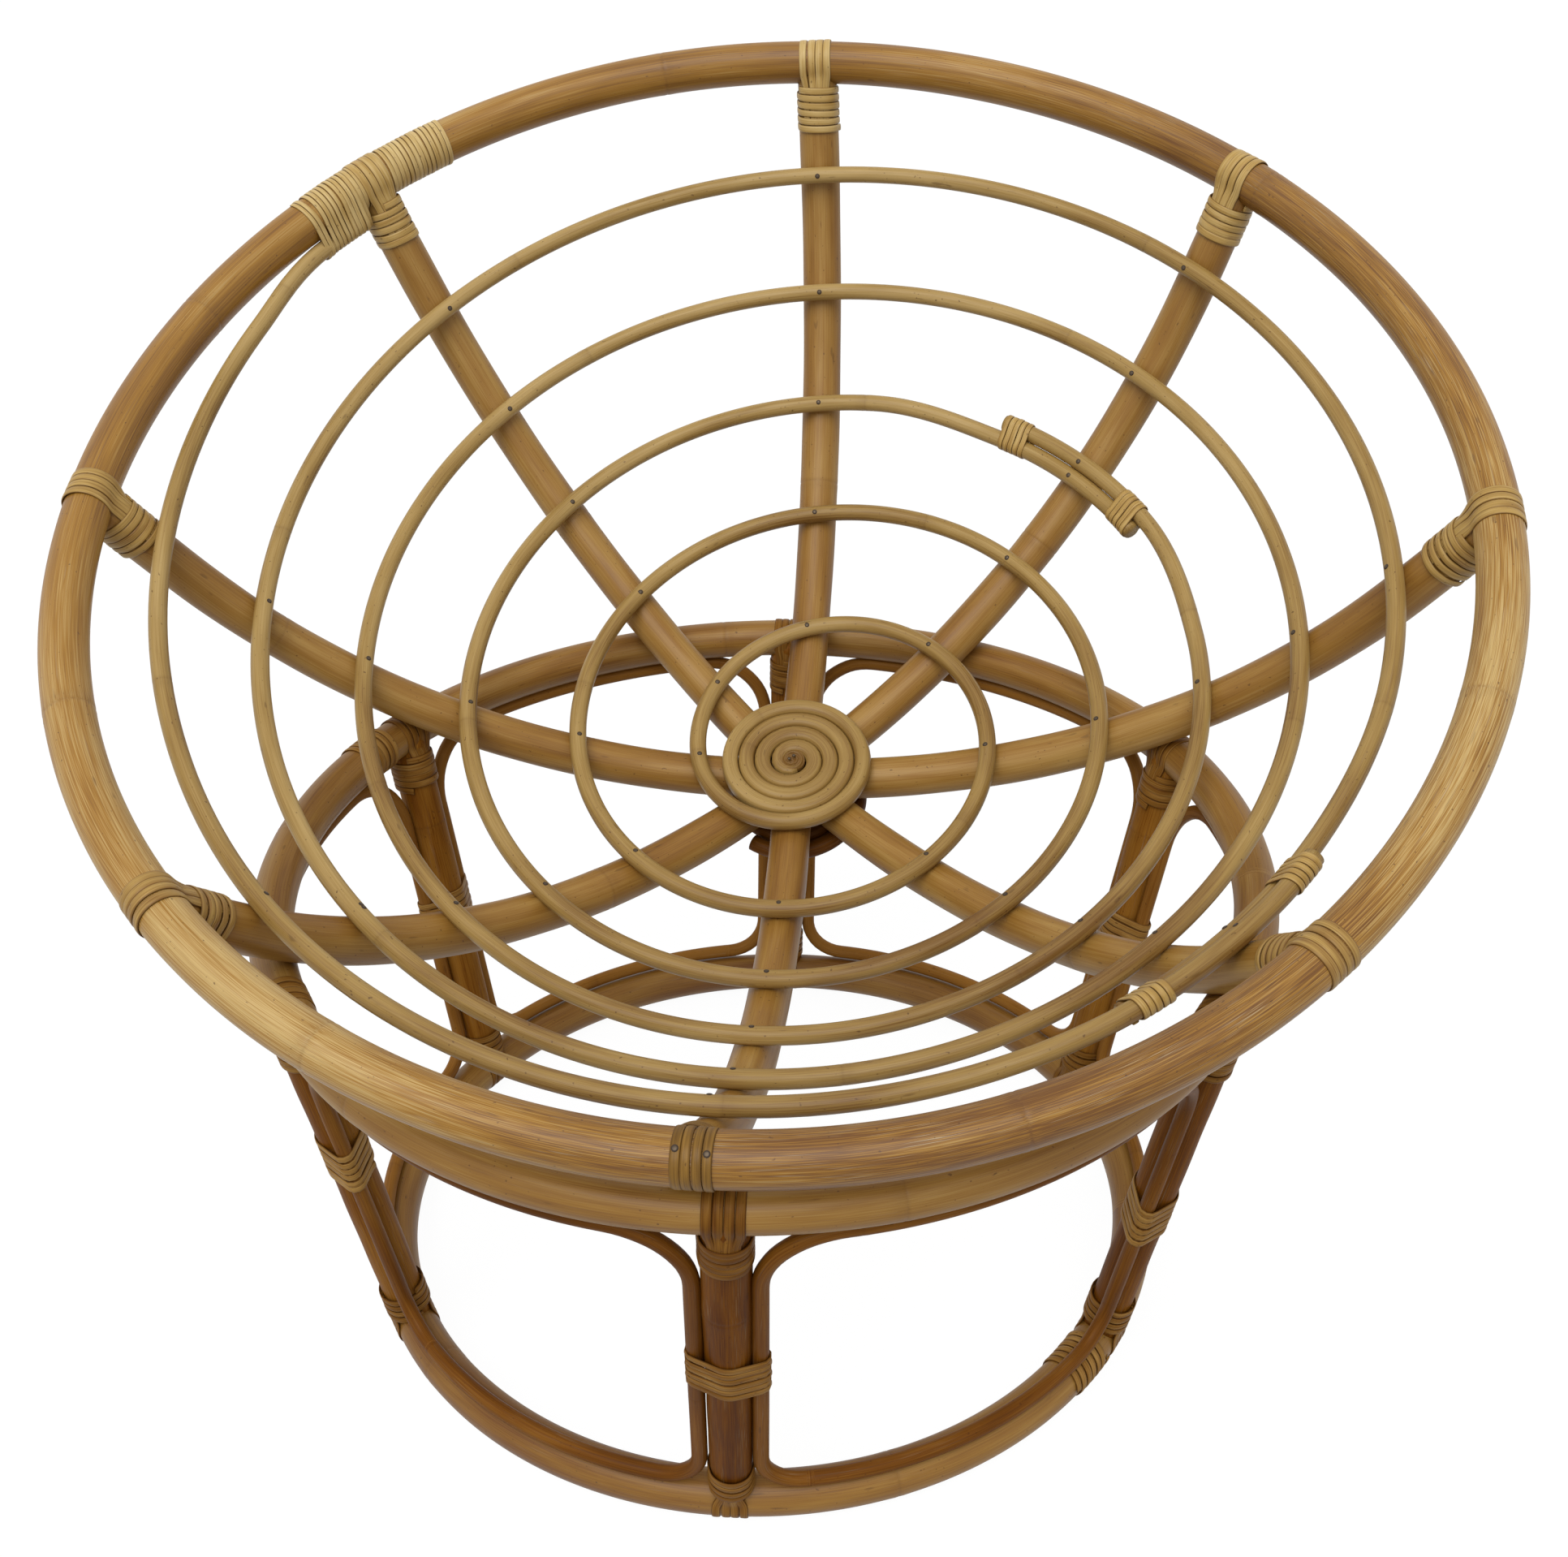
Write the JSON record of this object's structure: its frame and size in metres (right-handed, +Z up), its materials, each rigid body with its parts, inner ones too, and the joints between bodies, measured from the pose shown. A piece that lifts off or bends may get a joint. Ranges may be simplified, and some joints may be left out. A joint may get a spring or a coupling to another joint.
{
  "type": "papasan chair",
  "caption": "Papasan chair: a wide round bowl of rattan ribs and a wound spiral, tilted in a round rattan base with leaning legs, bent hoops and cane-lashed joints.",
  "frame": {"origin": "on the floor, below the middle of the whole chair's outline", "axes": "+Z up; the sitter faces -Y; +X is to the sitter's left and to the right in the picture"},
  "size_m": [1.076, 0.986, 0.8534],
  "materials": {
    "rattan_pole": "peeled rattan pole, stained honey brown under a semi-gloss varnish",
    "rattan_core": "round rattan core, stained olive brown under a semi-gloss varnish",
    "cane_binding": "flat cane strips, lighter tan, satin"
  },
  "bodies": {
    "base": {"base_top_ring": "rattan_pole", "base_bottom_ring": "rattan_pole", "leg_front": "rattan_pole", "hoop_front_right": "rattan_core", "top_lashing_front": "cane_binding", "middle_binding_front": "cane_binding", "bottom_lashing_front": "cane_binding", "leg_front_right": "rattan_pole", "hoop_right": "rattan_core", "top_lashing_front_right": "cane_binding", "middle_binding_front_right": "cane_binding", "bottom_lashing_front_right": "cane_binding", "leg_back_right": "rattan_pole", "hoop_back_right": "rattan_core", "top_lashing_back_right": "cane_binding", "middle_binding_back_right": "cane_binding", "bottom_lashing_back_right": "cane_binding", "leg_back": "rattan_pole", "hoop_back_left": "rattan_core", "top_lashing_back": "cane_binding", "middle_binding_back": "cane_binding", "bottom_lashing_back": "cane_binding", "leg_back_left": "rattan_pole", "hoop_left": "rattan_core", "top_lashing_back_left": "cane_binding", "middle_binding_back_left": "cane_binding", "bottom_lashing_back_left": "cane_binding", "leg_front_left": "rattan_pole", "hoop_front_left": "rattan_core", "top_lashing_front_left": "cane_binding", "middle_binding_front_left": "cane_binding", "bottom_lashing_front_left": "cane_binding", "top_ring_wrap": "cane_binding", "bottom_ring_wrap": "cane_binding"},
    "bowl": {"bowl_rim": "rattan_pole", "rib_back": "rattan_pole", "rim_lashing_back": "cane_binding", "rib_back_right": "rattan_pole", "rim_lashing_back_right": "cane_binding", "rib_right": "rattan_pole", "rim_lashing_right": "cane_binding", "rib_front_right": "rattan_pole", "rim_lashing_front_right": "cane_binding", "rib_front": "rattan_pole", "rim_lashing_front": "cane_binding", "rib_front_left": "rattan_pole", "rim_lashing_front_left": "cane_binding", "rib_left": "rattan_pole", "rim_lashing_left": "cane_binding", "rib_back_left": "rattan_pole", "rim_lashing_back_left": "cane_binding", "spiral_inner": "rattan_core", "spiral_middle": "rattan_core", "spiral_outer": "rattan_core", "splice_binding_1": "cane_binding", "splice_binding_2": "cane_binding", "splice_binding_3": "cane_binding", "splice_binding_4": "cane_binding", "hub_lower_disc": "cane_binding"}
  },
  "joints": [
    {"name": "bowl_tilt", "type": "hinge", "parent": "base", "child": "bowl", "pos_m": [0.0001, -0.0875, 0.8206], "axis": [1, 0, 0], "range_deg": [-23.9, 0]}
  ]
}
